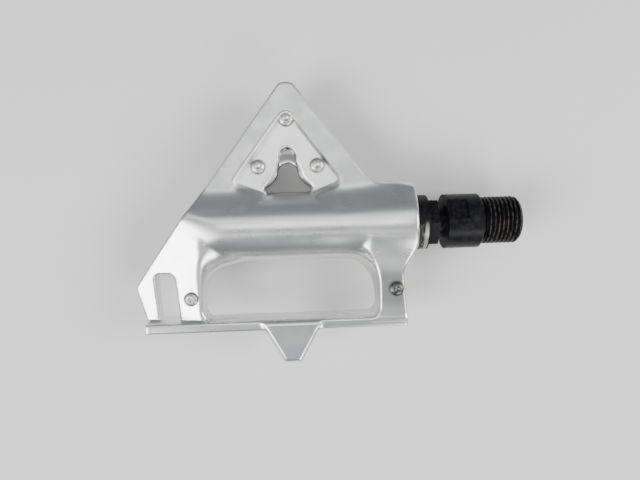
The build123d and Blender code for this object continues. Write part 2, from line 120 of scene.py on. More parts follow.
def ramp(value, start, end):
    """0 at start, 1 at end, a smooth step between and level beyond; end may be the smaller."""
    t = np.clip((value - start) / (end - start), 0, 1)
    return t * t * (3 - 2 * t)


# The outer plate rises in one slope to a ridge beside the window, and falls from there to the barrel.
# The slope goes through three places, each given with its height, and is cut once the barrel is on.
slope_places = np.array(((corner_x, corner_y, 3.6), (-81.5, 0.0, barrel_r), (window_x - 3.4, -20.0, 7.2)))
slope_x, slope_y, slope_base = np.linalg.solve(
    np.insert(slope_places[:, :2], 2, 1, axis=1), slope_places[:, 2])
slope_high = slope_x * x + slope_y * y + slope_base
ridge_x, ridge_fall, uncut_height = -82.3, 0.5, 4.0
ridge_high = slope_x * ridge_x + slope_y * y + slope_base - ridge_fall * (x - ridge_x)
plate_front, plate_end, plate_end_x, corner_r, window_overlap = -2.0, -28.3, -99.78, 2.5, 10.0
outer_plate = slab(
    plan(rounded([
        (edge_foot_x + plate_front * edge_slope, plate_front, 0), (corner_x, corner_y, corner_r),
        (plate_end_x, plate_end, 0), (window_x + window_overlap, plate_end, 0),
        (window_x + window_overlap, plate_front, 0)])),
    plate_low, np.minimum(slope_high + uncut_height, ridge_high), 0)

# The crank leg sweeps up into the barrel, more steeply where the barrel flares, and drops inside the window.
leg_front, leg_mouth_front, window_drop = -1.5, -4.2, 2.5
sweep_y, sweep_rate, sweep_flare = -16.0, 0.0052, 0.006
local_r = barrel_r + (mouth_r - barrel_r) * ramp(x, mouth_x - flare_length, mouth_x)
leg_sweep = (sweep_rate + sweep_flare * (local_r - barrel_r)) * np.maximum(y - sweep_y, 0) ** 2
leg_drop = window_drop * ramp(x, -33.0, -41.5)
crank_leg = slab(
    plan([(window_crank_x - window_overlap, leg_front), (mouth_x, leg_mouth_front),
          (mouth_x, plate_end), (window_crank_x - window_overlap, plate_end)]),
    leg_low, leg_high + leg_sweep - leg_drop, 0)

# The window's corners at the barrel are wide hollows that follow the round of the barrel at each height.
barrel_side_z, least = 9.0, 1e-6
window_front = -np.sqrt(barrel_r ** 2 - np.clip(z, -barrel_side_z, barrel_side_z) ** 2)
beside = abs(x - (window_x + window_crank_x) / 2) - (window_crank_x - window_x) / 2
window = np.inf
for ahead, wide, deep in ((y - window_front, 9.0, 12.5), (wall_front - y, 3.4, 3.4)):
    u, v = np.maximum(beside + wide, least), np.maximum(ahead + deep, least)
    bend = np.hypot(u / wide, v / deep)
    bend = (bend - 1) * bend / np.hypot(u / wide ** 2, v / deep ** 2)
    straight = np.where(window == np.inf, np.maximum(beside, ahead), window)
    window = np.where((u > least) & (v > least), bend, straight)
window = np.maximum(window, np.maximum(y - window_front, wall_front - y))
outer_roll, crank_roll = 1.2 + 2.3 * ramp(y, -22.0, -10.0), 0.9
legs = carve(np.minimum(outer_plate, crank_leg), window, np.where(x < centre_x, outer_roll, crank_roll))

# The toe plate is flat and sweeps out to the barrel's mouth.
toe_r, toe_edge_r, toe_end_x = 2.4, 0.6, mouth_x - 0.4
sweep_start_y, sweep_start_r, sweep_end, sweep_end_r, toe_end_y = 12.0, 9.0, (-25.0, 11.9), 4.0, 10.4
sweep_start_x = centre_x + tip_half + (tip_y - sweep_start_y) * edge_slope
toe_plate = slab(
    plan(rounded([
        (centre_x - tip_half, tip_y, toe_r), (edge_foot_x, 0.0, 0), (toe_end_x, 0.0, 0),
        (toe_end_x, toe_end_y, 0), (*sweep_end, sweep_end_r),
        (sweep_start_x, sweep_start_y, sweep_start_r), (centre_x + tip_half, tip_y, toe_r)])),
    plate_low, plate_high, toe_edge_r)

# A shallow recess with sloping walls follows the toe plate's rim, down to the barrel.
rim_width, recess_floor, apex_r, knee_y, knee_r = 6.1, 4.7, 1.8, 12.4, 2.0
foot_half, foot_y, foot_end = 8.0, 9.0, 4.0
recess_apex = tip_y + tip_half / edge_slope - rim_width / sin(edge_angle)
recess_knee = (recess_apex - knee_y) * edge_slope
recess = plan(rounded([
    (centre_x, recess_apex, apex_r), (centre_x - recess_knee, knee_y, knee_r),
    (centre_x - foot_half, foot_y, 0), (centre_x - foot_half, foot_end, 0),
    (centre_x + foot_half, foot_end, 0), (centre_x + foot_half, foot_y, 0),
    (centre_x + recess_knee, knee_y, knee_r)]))
wall_lean = 0.45 + 0.55 * ramp(y, 15.0, 11.5)
recess = np.maximum(recess + (plate_high - z) * wall_lean, recess_floor - z)
toe_plate = carve(toe_plate, recess, 0.15 + 0.85 * ramp(x, -55.0, -62.0))

# A bell-shaped hole goes through the recess, with a bevel round its upper part and a scooped ledge above it.
bell_y, bell_r, bell_length, bell_foot, side_scale = 15.8, 2.9, 4.3, 5.0, 0.75
flare_share = np.clip((bell_y - y) / bell_length, 0, 1)
flare = bell_r + 0.4 * flare_share + 3.1 * flare_share ** 2
bell_sides = np.maximum(side_scale * (aside - flare), bell_foot - y)
hole = np.where(y > bell_y, np.hypot(aside, y - bell_y) - bell_r, bell_sides)
bevel_low, bevel_lean = 3.2, 0.9
hole = hole - bevel_lean * ramp(y, 10.2, 12.5) * np.maximum(z - bevel_low, 0)
ledge_r, ledge_start, ledge_end, ledge_stretch, hole_edge_r = 2.55, 16.7, 20.3, 0.9, 0.3
beyond = ledge_stretch * np.maximum(y - ledge_end, 0) + np.minimum(y - ledge_start, 0)
ledge = np.hypot(aside, beyond) - ledge_r
ledge_z, ledge_y, ledge_fall = 3.0, 19.0, 0.3
ledge_floor = ledge_z - ledge_fall * (y - ledge_y)
for opening in (hole, np.maximum(ledge, ledge_floor - z)):
    toe_plate = carve(toe_plate, opening, hole_edge_r)

# Under the toe plate is a pad for the two screws of a clip.
clip_half, clip_y, pad_r, pad_low, pad_high, pad_edge_r, pad_root = 6.0, 26.0, 4.1, -4.0, 2.0, 0.4, 0.8
clip_pad = np.hypot(np.maximum(aside - clip_half, 0), y - clip_y) - pad_r
toe_plate = fuse(toe_plate, slab(clip_pad, pad_low, pad_high, pad_edge_r), pad_root)

# The barrel flares towards its mouth; its crown is carried on to the outer edge, under the plate's slope.
across = np.hypot(y, z)
dome = barrel_r * (np.hypot(np.minimum(x - dome_x, 0) / dome_length, across / barrel_r) - 1)
barrel = np.where((x < dome_x) & (z < plate_low), dome, across - local_r)
least_root, crown_root, recess_root, rim_root, window_corner_root = 0.02, 0.3, 0.8, 3.2, 3.0
toe_root = recess_root + (rim_root - recess_root) * ramp(aside, 7.5, 14.0)
toe_root = crown_root + toe_root * ramp(y, 0.0, 6.0)
window_root = window_corner_root * ramp(y, -3.0, -9.0) * ramp(x, -50.0, -60.0)
root_r = least_root + toe_root * ramp(aside, 6.2, 7.4) + window_root
pedal = fuse(np.minimum(legs, toe_plate), barrel, root_r)

# The slope, the outer edge, the strap slot and the crank end are cut through plates and barrel together.
above_slope = (slope_high - z) / np.hypot(1, np.hypot(slope_x, slope_y))
outer_edge = sin(edge_angle) * (tip_y - y) - cos(edge_angle) * (centre_x - tip_half - x)
slot_head, slot_foot, slot_width, slot_r = (-96.87, -12.8), (-95.75, -28.5), 6.0, 1.6
slot = plan(rounded([
    (*slot_head, slot_r), (*slot_foot, 0), (slot_foot[0] + slot_width, slot_foot[1], 0),
    (slot_head[0] + slot_width, slot_head[1], slot_r)]))
crank_end = mouth_x - 4.0 * ramp(y, -5.0, -14.5) + 0.8 * ramp(y, -14.5, -30.0)
slope_edge_r, cut_edge_r, mouth_edge_r, end_scale = 0.6 + 0.6 * ramp(x, -93.0, -85.0), 0.7, 0.8, 0.9
for cut, edge_r in ((above_slope, slope_edge_r), (outer_edge, cut_edge_r), (slot, cut_edge_r),
                    (end_scale * (crank_end - x), mouth_edge_r)):
    pedal = carve(pedal, cut, edge_r)

# The rear strip stands above the outer plate, and the tab leaves it with bevelled sides.
strip_low, strip_edge_r = -3.0, 0.6
strip = np.maximum(np.maximum(wall_end_x - x, x - leg_x), np.maximum(wall_back - y, y - wall_front))
strip_root = least_root + 0.5 * ramp(y, -28.6, -27.6)
pedal = fuse(pedal, slab(strip, strip_low, leg_high, strip_edge_r), strip_root)
tab_root_half, tab_end_half, tab_end, tab_r = 9.7, 2.6, -39.5, 0.8
tab_low, tab_bevel, tab_high, tab_root = 4.0, 8.6, 9.6, 0.6
tab = plan(rounded([
    (centre_x - tab_root_half, wall_front, 0), (centre_x - tab_end_half, tab_end, tab_r),
    (centre_x + tab_end_half, tab_end, tab_r), (centre_x + tab_root_half, wall_front, 0)]))
tab = np.maximum(tab + np.maximum(z - tab_bevel, 0), np.maximum(tab_low - z, z - tab_high))
pedal = fuse(pedal, tab, tab_root)

# The bore takes the axle unit in three steps, and two tapped holes under the toe plate take a clip.
bore_edge_r, tapped_r, tapped_high, tapped_edge_r = 0.5, 2.1, 3.0, 0.2
bore = np.inf
for bore_r, bore_end in ((9.52, -28.5), (8.34, -69.55), (7.04, -79.9)):
    bore = np.minimum(bore, np.maximum(across - bore_r, bore_end - x))
pedal = carve(pedal, bore, bore_edge_r)
tapped = np.maximum(np.hypot(aside - clip_half, y - clip_y) - tapped_r, z - tapped_high)
pedal = carve(pedal, tapped, tapped_edge_r)

# The skin takes its normals from the field itself, read between the eight grid points round each vertex.
body_field = openvdb.FloatGrid(background=1.0)
body_field.copyFromArray(pedal.astype(np.float32))
body_points, body_tris, body_quads = body_field.convertToPolygons(isovalue=0.0, adaptivity=0.0)
body_corner = np.minimum(body_points.astype(int), body_counts - 2)
body_slant = np.stack(np.gradient(pedal), axis=-1)
body_out = 0
for step in np.ndindex(2, 2, 2):
    share = np.prod(abs(1 - np.array(step) - (body_points - body_corner)), axis=1)
    body_out = body_out + share[:, None] * body_slant[tuple((body_corner + step).T)]
body_out /= np.linalg.norm(body_out, axis=1)[:, None]
body_points = (body_points * body_step + body_low) / 1000
body_mesh = bpy.data.meshes.new("pedal_casting")
body_mesh.from_pydata(body_points.tolist(), [], body_quads.tolist() + body_tris.tolist())
body_mesh.polygons.foreach_set("use_smooth", [True] * len(body_mesh.polygons))
body_mesh.update()
body_mesh.normals_split_custom_set_from_vertices(body_out.tolist())
pedal_casting = bpy.data.objects.new("pedal_casting", body_mesh)
bpy.context.collection.objects.link(pedal_casting)


def connect(tree, sockets, values):
    """Sets each socket to a value, or links it to another node's socket."""
    for key, value in values.items():
        if isinstance(value, bpy.types.NodeSocket):
            tree.links.new(value, sockets[key])
        else:
            sockets[key].default_value = value


def node(tree, kind, inputs, **settings):
    """Adds a shader or geometry node with its settings and inputs."""
    made = tree.nodes.new(kind)
    for name, value in settings.items():
        setattr(made, name, value)
    connect(tree, made.inputs, inputs)
    return made


def maths(tree, operation, *values):
    return node(tree, "ShaderNodeMath", dict(enumerate(values)), operation=operation).outputs[0]


def fade(tree, value, start, end, low=0.0, high=1.0):
    """Smooth step from low to high as the value goes from start to end."""
    limits = {"Value": value, "From Min": start, "From Max": end, "To Min": low, "To Max": high}
    return node(tree, "ShaderNodeMapRange", limits, interpolation_type="SMOOTHSTEP").outputs["Result"]


def mask(tree, *limits):
    """1 where every limit holds and 0 elsewhere; each limit is (value, start, end) of a smooth step."""
    share = 1.0
    for value, start, end in limits:
        share = maths(tree, "MULTIPLY", fade(tree, value, start, end), share)
    return share


def mixed(tree, share, first, second):
    """Blend of two colours; sockets 0, 6 and 7 are the share and the colours."""
    return node(tree, "ShaderNodeMix", {0: share, 6: first, 7: second}, data_type="RGBA").outputs[2]


def scaled(tree, vector, factors):
    return node(tree, "ShaderNodeVectorMath", {0: vector, 1: factors}, operation="MULTIPLY").outputs[0]


def noise(tree, vector, scale, detail):
    made = node(tree, "ShaderNodeTexNoise", {"Vector": vector, "Scale": scale, "Detail": detail})
    return made.outputs["Fac"]


def new_finish(name):
    """A new material, with its node tree, its shader and the piece's own coordinates."""
    made = bpy.data.materials.new(name)
    made.use_nodes = True
    tree = made.node_tree
    return made, tree, tree.nodes["Principled BSDF"], tree.nodes.new("ShaderNodeTexCoord").outputs


# Shared by the casting and the studs: how far a point is, in plan, from the nearest stud, in millimetres.
stud_names = ("toe_stud", "toe_outer_stud", "toe_crank_stud", "rear_outer_stud", "rear_crank_stud")
to_millimetres = (1000, 1000, 1000)
stud_group = bpy.data.node_groups.new("distance from stud", "ShaderNodeTree")
stud_group.interface.new_socket("Place", in_out="INPUT", socket_type="NodeSocketVector")
stud_group.interface.new_socket("Distance", in_out="OUTPUT", socket_type="NodeSocketFloat")
in_plan = scaled(stud_group, stud_group.nodes.new("NodeGroupInput").outputs["Place"], (1000, 1000, 0))
nearest_stud = 1000.0
for stud_name in stud_names:
    stud_low, stud_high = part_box(stud_name)
    stud_x, stud_y = (1000 * (a + b) / 2 for a, b in zip(stud_low[:2], stud_high[:2]))
    gap = node(stud_group, "ShaderNodeVectorMath", {0: in_plan, 1: (stud_x, stud_y, 0)}, operation="DISTANCE")
    nearest_stud = maths(stud_group, "MINIMUM", gap.outputs["Value"], nearest_stud)
node(stud_group, "NodeGroupOutput", {"Distance": nearest_stud})

# The metal is bright where it was cast and greyer where it was ground. Painted shade darkens the lower crank
# leg, the rear strip and tab, a line along the recess's right wall, the ledge, the hole's walls, the barrel's
# flank by the hole and a ring round each stud.
# Each area is bounded by places in millimetres and by the way that its surface faces.
cast_tone, leg_shade_tone, recess_tone = (0.80, 0.80, 0.795, 1), (0.50, 0.50, 0.495, 1), (0.97, 0.97, 0.965, 1)
rim_pale, rim_grey, rear_shade_grey = (0.71, 0.715, 0.72, 1), (0.59, 0.595, 0.60, 1), (0.49, 0.495, 0.50, 1)
cloud_tone, pit_tone, ring_shade_tone = (0.6, 0.6, 0.6, 1), (0.2, 0.18, 0.16, 1), (0.14, 0.12, 0.1, 1)
corner_shade_tone, ledge_shade_tone = (0.12, 0.12, 0.115, 1), (0.10, 0.10, 0.10, 1)
hole_shade_tone, flank_shade_tone = (0.16, 0.16, 0.155, 1), (0.40, 0.40, 0.395, 1)
cast_mat, tree, cast_bsdf, coords = new_finish("cast_aluminium")
place = scaled(tree, coords["Object"], to_millimetres)
at_x, at_y, at_z = node(tree, "ShaderNodeSeparateXYZ", {0: place}).outputs
face_x, _, face_z = node(tree, "ShaderNodeSeparateXYZ", {0: coords["Normal"]}).outputs
from_centre = maths(tree, "ABSOLUTE", maths(tree, "SUBTRACT", at_x, centre_x))
stud_gap = node(tree, "ShaderNodeGroup", {"Place": coords["Object"]}, node_tree=stud_group)
from_stud = stud_gap.outputs["Distance"]
grain = noise(tree, place, 0.9, 2.0)
cloud = noise(tree, place, 0.16, 3.0)
brushed = noise(tree, scaled(tree, place, (0.15, 3.0, 1.0)), 1.5, 3.0)
speckles = node(tree, "ShaderNodeTexVoronoi", {"Vector": place, "Scale": 0.55, "Randomness": 1.0})

toe_or_rear = maths(tree, "MAXIMUM", fade(tree, at_y, 7.0, 9.0), fade(tree, at_y, -26.0, -27.0))
ground = maths(tree, "MULTIPLY", mask(tree, (face_z, 0.985, 0.998), (at_z, 5.2, 5.6)), toe_or_rear)
# Painted shade: the lower crank leg is made darker.
leg_shade_area = mask(tree, (at_y, -11.0, -16.0), (at_x, -36.0, -30.0), (at_y, -26.0, -21.0))
recess_area = mask(tree, (face_z, 0.9, 0.98), (at_z, 4.3, 4.5), (at_z, 5.6, 5.2), (at_y, 9.0, 11.0))
wall_area = mask(tree, (face_z, 0.97, 0.9), (at_z, 4.4, 4.7), (at_y, 11.0, 12.5), (at_y, 38.0, 37.0))
# Painted shade: a dark line along the foot of the recess's right wall.
corner_shade_line = mask(tree, (face_x, -0.08, -0.3), (at_z, 4.4, 4.8), (at_y, 12.0, 15.0), (at_x, -56.0, -53.0))
# Painted shade on the scooped ledge above the hole.
ledge_shade_area = mask(tree, (from_centre, 2.8, 2.5), (at_y, 17.0, 23.5), (at_y, 24.3, 23.9),
                  (at_z, 0.0, 0.8), (at_z, 4.4, 3.6))
# Painted shade on the walls of the hole.
hole_shade_area = mask(tree, (from_centre, 6.9, 6.5), (face_z, 0.6, 0.4), (at_y, 9.8, 10.1), (at_y, 19.2, 18.9),
                 (at_z, -1.0, 0.0), (at_z, 7.0, 6.4))
# Painted shade on the barrel's steep flank beside the hole.
flank_shade_area = mask(tree, (from_centre, 10.0, 7.0), (face_z, 0.85, 0.7), (at_y, 5.5, 8.0), (at_y, 10.6, 10.3))
# Painted shade: a dark ring in the gap round each stud.
ring = mask(tree, (from_stud, 1.95, 2.05), (from_stud, 2.45, 2.2), (face_z, 0.9, 0.97))
pit = mask(tree, (speckles.outputs["Distance"], 0.12, 0.05), (at_x, -36.0, -30.0),
           (at_y, -15.0, -8.0), (at_y, 1.0, -2.0))

rim_tone = mixed(tree, fade(tree, cloud, 0.35, 0.65), rim_pale, rim_grey)
# Painted shade: the rear strip and tab are made greyer than the toe rim.
ground_and_rear_shade_tone = mixed(tree, fade(tree, at_y, -24.0, -20.0), rear_shade_grey, rim_tone)
tone = cast_tone
for area, strength, area_tone in (
        (leg_shade_area, 1.0, leg_shade_tone), (ground, 1.0, ground_and_rear_shade_tone), (recess_area, 1.0, recess_tone),
        (fade(tree, cloud, 0.45, 0.75), 0.18, cloud_tone), (pit, 0.6, pit_tone), (ring, 0.6, ring_shade_tone),
        (corner_shade_line, 0.75, corner_shade_tone), (ledge_shade_area, 0.8, ledge_shade_tone), (hole_shade_area, 0.85, hole_shade_tone),
        (flank_shade_area, 0.6, flank_shade_tone)):
    tone = mixed(tree, maths(tree, "MULTIPLY", area, strength), tone, area_tone)
rough = fade(tree, cloud, 0.3, 0.7, 0.27, 0.31)
dull_area = maths(tree, "MAXIMUM", wall_area, flank_shade_area)
for area, rise in ((ground, 0.08), (recess_area, 0.08), (dull_area, 0.28)):
    rough = maths(tree, "MULTIPLY_ADD", area, rise, rough)
cast_relief = maths(tree, "MULTIPLY", grain, maths(tree, "MULTIPLY_ADD", ground, -0.7, 1.0))
ground_relief = maths(tree, "MULTIPLY", maths(tree, "MULTIPLY", brushed, ground), 0.4)
relief = maths(tree, "MULTIPLY_ADD", pit, -3.0, maths(tree, "ADD", cast_relief, ground_relief))
bump = node(tree, "ShaderNodeBump", {"Strength": 0.02, "Distance": 0.0001, "Height": relief})
connect(tree, cast_bsdf.inputs, {
    "Base Color": tone, "Metallic": 1.0, "Roughness": rough, "Normal": bump.outputs["Normal"]})
body_mesh.materials.append(cast_mat)
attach(pedal_casting, "pedal")
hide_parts("pedal_body")


# Grip studs: five round-headed steel pins with a dimple, driven into the riding face.
# Their heads are worn pale on top, with painted shade round the edge; the one on the crank leg is darker all
# over.
def dress(name, finish):
    """Gives a node of the frame its finish."""
    nodes[name].data.materials.clear()
    nodes[name].data.materials.append(finish)


pale_head, dark_head, head_edge_shade = (0.66, 0.63, 0.58), (0.13, 0.125, 0.115), (0.10, 0.09, 0.08, 1)
for stud_name in stud_names:
    stud_mat, tree, stud_bsdf, coords = new_finish(stud_name)
    speck = noise(tree, scaled(tree, coords["Object"], to_millimetres), 1.6, 4.0)
    stud_gap = node(tree, "ShaderNodeGroup", {"Place": coords["Object"]}, node_tree=stud_group)
    worn = dark_head if stud_name == "rear_crank_stud" else pale_head
    specked = [0.6 * c for c in worn]
    tone = mixed(tree, fade(tree, speck, 0.4, 0.7), (*worn, 1), (*specked, 1))
    # Painted shade round the rounded edge of the head.
    tone = mixed(tree, fade(tree, stud_gap.outputs["Distance"], 1.7, 2.0), tone, head_edge_shade)
    bump = node(tree, "ShaderNodeBump", {"Strength": 0.2, "Distance": 0.0002, "Height": speck})
    connect(tree, stud_bsdf.inputs, {
        "Base Color": tone, "Metallic": 1.0, "Roughness": fade(tree, speck, 0.3, 0.7, 0.32, 0.5),
        "Normal": bump.outputs["Normal"]})
    dress(stud_name, stud_mat)


# Lock bolt: a black steel ring screwed into the mouth, with a boss and a hexagon for the wrench.
# Its black is scuffed to grey metal on the rear half of the boss, most of all along the boss's outer edge.
lock_dark, lock_fleck, scuff_tone = (0.005, 0.005, 0.006, 1), (0.013, 0.013, 0.014, 1), (0.42, 0.40, 0.37, 1)
black_shine = 0.12
lock_mat, tree, lock_bsdf, coords = new_finish("lock_bolt_black")
place = scaled(tree, coords["Object"], to_millimetres)
at_x, at_y, at_z = node(tree, "ShaderNodeSeparateXYZ", {0: place}).outputs
streak = noise(tree, scaled(tree, place, (2.4, 0.4, 0.4)), 0.9, 4.0)
fleck = noise(tree, place, 1.2, 3.0)
worn_edge = fade(tree, maths(tree, "ADD", at_x, streak), -17.3, -16.6, 0.0, 0.9)
scuff = maths(tree, "MAXIMUM", fade(tree, streak, 0.45, 0.75, 0.05, 0.5), worn_edge)
scuff = maths(tree, "MULTIPLY", scuff, mask(tree, (at_y, 1.0, -2.0), (at_z, -2.0, 1.0), (at_x, -16.3, -16.5)))
tone = mixed(tree, fade(tree, fleck, 0.4, 0.7), lock_dark, lock_fleck)
bump = node(tree, "ShaderNodeBump", {"Strength": 0.15, "Distance": 0.0002, "Height": fleck})
connect(tree, lock_bsdf.inputs, {
    "Base Color": mixed(tree, scuff, tone, scuff_tone), "Metallic": maths(tree, "MULTIPLY", scuff, 0.9),
    "Roughness": fade(tree, fleck, 0.3, 0.7, 0.33, 0.5), "Normal": bump.outputs["Normal"],
    "Specular IOR Level": black_shine})
dress("lock_bolt", lock_mat)


# Spindle seal: a black rubber ring pressed into the lock bolt, wiping the neck of the spindle.
# It is moulded, matt and faintly mottled with old grease.
rubber_dark, rubber_pale = (0.016, 0.016, 0.016, 1), (0.035, 0.034, 0.032, 1)
seal_mat, tree, seal_bsdf, coords = new_finish("seal_rubber")
grease = noise(tree, coords["Object"], 700.0, 3.0)
connect(tree, seal_bsdf.inputs, {
    "Base Color": mixed(tree, fade(tree, grease, 0.4, 0.7), rubber_dark, rubber_pale),
    "Roughness": fade(tree, grease, 0.3, 0.7, 0.7, 0.5)})
dress("spindle_seal", seal_mat)


# Bearing sleeve, the two cups in its ends, and the cone, washer and lock nut on the spindle's tail.
# All are turned from plain steel, so their finish is fine lines round the axis, under a film of grease.
line_dark, line_pale, grease_tone = (0.44, 0.44, 0.45, 1), (0.56, 0.56, 0.57, 1), (0.22, 0.18, 0.13, 1)
turned_mat, tree, turned_bsdf, coords = new_finish("bearing_steel")
lines = noise(tree, scaled(tree, coords["Object"], (6000, 60, 60)), 1.0, 3.0)
grease = noise(tree, coords["Object"], 260.0, 3.0)
tone = mixed(tree, fade(tree, lines, 0.3, 0.7), line_dark, line_pale)
tone = mixed(tree, fade(tree, grease, 0.5, 0.75, 0.0, 0.5), tone, grease_tone)
bump = node(tree, "ShaderNodeBump", {"Strength": 0.1, "Distance": 0.00005, "Height": lines})
connect(tree, turned_bsdf.inputs, {
    "Base Color": tone, "Metallic": 1.0, "Roughness": fade(tree, lines, 0.3, 0.7, 0.28, 0.4),
    "Normal": bump.outputs["Normal"]})
for name in ("bearing_sleeve", "crank_side_cup", "outer_cup", "outer_cone", "lock_washer", "lock_nut"):
    dress(name, turned_mat)


# Bearing balls: twelve loose balls of hardened steel in each row, held in grease between cup and cone.
# They are polished, with the grease showing as a slight unevenness of the shine.
ball_bright, ball_greased = (0.74, 0.74, 0.76, 1), (0.52, 0.49, 0.44, 1)
ball_mat, tree, ball_bsdf, coords = new_finish("ball_steel")
grease = noise(tree, coords["Object"], 900.0, 3.0)
connect(tree, ball_bsdf.inputs, {
    "Base Color": mixed(tree, fade(tree, grease, 0.5, 0.8), ball_bright, ball_greased), "Metallic": 1.0,
    "Roughness": fade(tree, grease, 0.3, 0.7, 0.08, 0.2)})
for name in ("crank_side_balls", "outer_balls"):
    dress(name, ball_mat)


# Spindle: a black steel axle with a collar, two wrench flats and a neck, in one piece with the crank thread.
# The shaft is a turned profile in millimetres along X; the flats cut its round between two stations.
shaft_sides, flats_half, flats_turn = 96, 7.5, radians(60.0)
collar_r, collar_bevel, collar_end, flats_end, flats_edge = 8.2, 0.3, -4.5, -10.4, 0.2
neck_r, neck_end, journal_r, journal_start, journal_end = 4.8, -28.7, 3.98, -29.9, -64.9
tail_r, tail_end, tail_bevel_start, tail_end_r = 3.0, -77.88, -77.5, 2.6
angles = np.arange(shaft_sides) * 2 * pi / shaft_sides
flats_r = np.minimum(collar_r, flats_half / np.maximum(abs(np.cos(angles - flats_turn)), least))
shaft_rows = [
    (0.0, 0.0), (0.0, collar_r - collar_bevel), (-collar_bevel, collar_r), (collar_end, collar_r),
    (collar_end, flats_r), (flats_end + flats_edge, flats_r), (flats_end, flats_r), (flats_end, neck_r),
    (neck_end, neck_r), (journal_start, journal_r), (journal_end, journal_r), (journal_end, tail_r),
    (tail_bevel_start, tail_r), (tail_end, tail_end_r), (tail_end, 0.0)]
shaft_points, shaft_faces = [], []
for row_x, row_r in shaft_rows:
    spokes = zip(np.broadcast_to(row_r, shaft_sides), angles)
    shaft_points += [(row_x / 1000, r * cos(a) / 1000, r * sin(a) / 1000) for r, a in spokes]
for row in range(len(shaft_rows) - 1):
    for side in range(shaft_sides):
        a, b = row * shaft_sides + side, row * shaft_sides + (side + 1) % shaft_sides
        shaft_faces.append((a, b, b + shaft_sides, a + shaft_sides))
merge_distance = 0.000002
shaft_mesh = bpy.data.meshes.new("spindle_shaft")
shaft_mesh.from_pydata(shaft_points, [], shaft_faces)
shaft_form = bmesh.new()
shaft_form.from_mesh(shaft_mesh)
bmesh.ops.remove_doubles(shaft_form, verts=shaft_form.verts, dist=merge_distance)
bmesh.ops.recalc_face_normals(shaft_form, faces=shaft_form.faces)
shaft_form.to_mesh(shaft_mesh)
shaft_form.free()
shaft_mesh.polygons.foreach_set("use_smooth", [True] * len(shaft_mesh.polygons))
shaft_mesh.set_sharp_from_angle(angle=radians(30))
spindle_shaft = bpy.data.objects.new("spindle_shaft", shaft_mesh)
bpy.context.collection.objects.link(spindle_shaft)

# The crests of the thread are painted a faint brown: partly wear of the black, partly a painted glint.
black_deep, black_fleck = (0.004, 0.004, 0.005, 1), (0.011, 0.011, 0.012, 1)
crest_wear_and_glint_tone = (0.050, 0.041, 0.034, 1)
spindle_mat, tree, spindle_bsdf, coords = new_finish("spindle_black")
place = scaled(tree, coords["Object"], to_millimetres)
at_x = node(tree, "ShaderNodeSeparateXYZ", {0: place}).outputs["X"]
from_axis = node(tree, "ShaderNodeVectorMath", {0: scaled(tree, place, (0, 1, 1))}, operation="LENGTH")
fleck = noise(tree, place, 0.8, 5.0)
# Painted glint and wear on the crests of the thread.
crest = mask(tree, (from_axis.outputs["Value"], 6.95, 7.1), (at_x, 1.0, 1.6), (fleck, 0.42, 0.62))
tone = mixed(tree, fade(tree, fleck, 0.4, 0.7), black_deep, black_fleck)
bump = node(tree, "ShaderNodeBump", {"Strength": 0.1, "Distance": 0.0002, "Height": fleck})
connect(tree, spindle_bsdf.inputs, {
    "Base Color": mixed(tree, crest, tone, crest_wear_and_glint_tone), "Roughness": fade(tree, fleck, 0.3, 0.7, 0.3, 0.45),
    "Normal": bump.outputs["Normal"], "Specular IOR Level": black_shine})
shaft_mesh.materials.append(spindle_mat)
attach(spindle_shaft, "spindle")
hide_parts("spindle")


# Crank thread on the end of the spindle: twenty left-hand turns to the inch, cut with a runout groove at the
# collar. A grid is wrapped round the axis and sunk between the crests; the end face has a centre hole.
thread_sizes = {"Length": 0.012, "Crest Radius": 0.007145, "Depth": 0.00078, "Pitch": 0.00127,
                "Groove Length": 0.0014, "End Chamfer": 0.001}
points_along, points_round, crest_share, root_share, groove_share = 131, 97, 0.12, 0.92, 0.6
tree = bpy.data.node_groups.new("crank thread", "GeometryNodeTree")
for name in thread_sizes:
    tree.interface.new_socket(name, in_out="INPUT", socket_type="NodeSocketFloat")
tree.interface.new_socket("Finish", in_out="INPUT", socket_type="NodeSocketMaterial")
tree.interface.new_socket("Geometry", in_out="OUTPUT", socket_type="NodeSocketGeometry")
given = tree.nodes.new("NodeGroupInput").outputs
sheet = node(tree, "GeometryNodeMeshGrid", {
    "Size X": given["Length"], "Size Y": 1.0, "Vertices X": points_along, "Vertices Y": points_round})
spot = node(tree, "ShaderNodeSeparateXYZ", {0: tree.nodes.new("GeometryNodeInputPosition").outputs[0]})
along = maths(tree, "ADD", spot.outputs["X"], maths(tree, "MULTIPLY", given["Length"], 0.5))
share = maths(tree, "ADD", spot.outputs["Y"], 0.5)
turns = maths(tree, "ADD", maths(tree, "DIVIDE", along, given["Pitch"]), share)
valley = maths(tree, "MULTIPLY", maths(tree, "PINGPONG", turns, 0.5), 2.0)
valley = fade(tree, valley, crest_share, root_share)
groove_floor = maths(tree, "MULTIPLY", given["Groove Length"], groove_share)
sunk = maths(tree, "MAXIMUM", valley, fade(tree, along, given["Groove Length"], groove_floor))
wall = maths(tree, "SUBTRACT", given["Crest Radius"], maths(tree, "MULTIPLY", sunk, given["Depth"]))
end_r = maths(tree, "SUBTRACT", given["Crest Radius"], given["End Chamfer"])
taper = maths(tree, "ADD", maths(tree, "SUBTRACT", given["Length"], along), end_r)
wall = maths(tree, "MINIMUM", wall, taper)
angle = maths(tree, "MULTIPLY", share, 2 * pi)
wrapped = node(tree, "ShaderNodeCombineXYZ", {
    "X": along, "Y": maths(tree, "MULTIPLY", wall, maths(tree, "COSINE", angle)),
    "Z": maths(tree, "MULTIPLY", wall, maths(tree, "SINE", angle))})
sleeve = node(tree, "GeometryNodeSetPosition", {
    "Geometry": sheet.outputs["Mesh"], "Position": wrapped.outputs[0]})
closed = node(tree, "GeometryNodeMergeByDistance", {
    "Geometry": sleeve.outputs[0], "Distance": merge_distance})
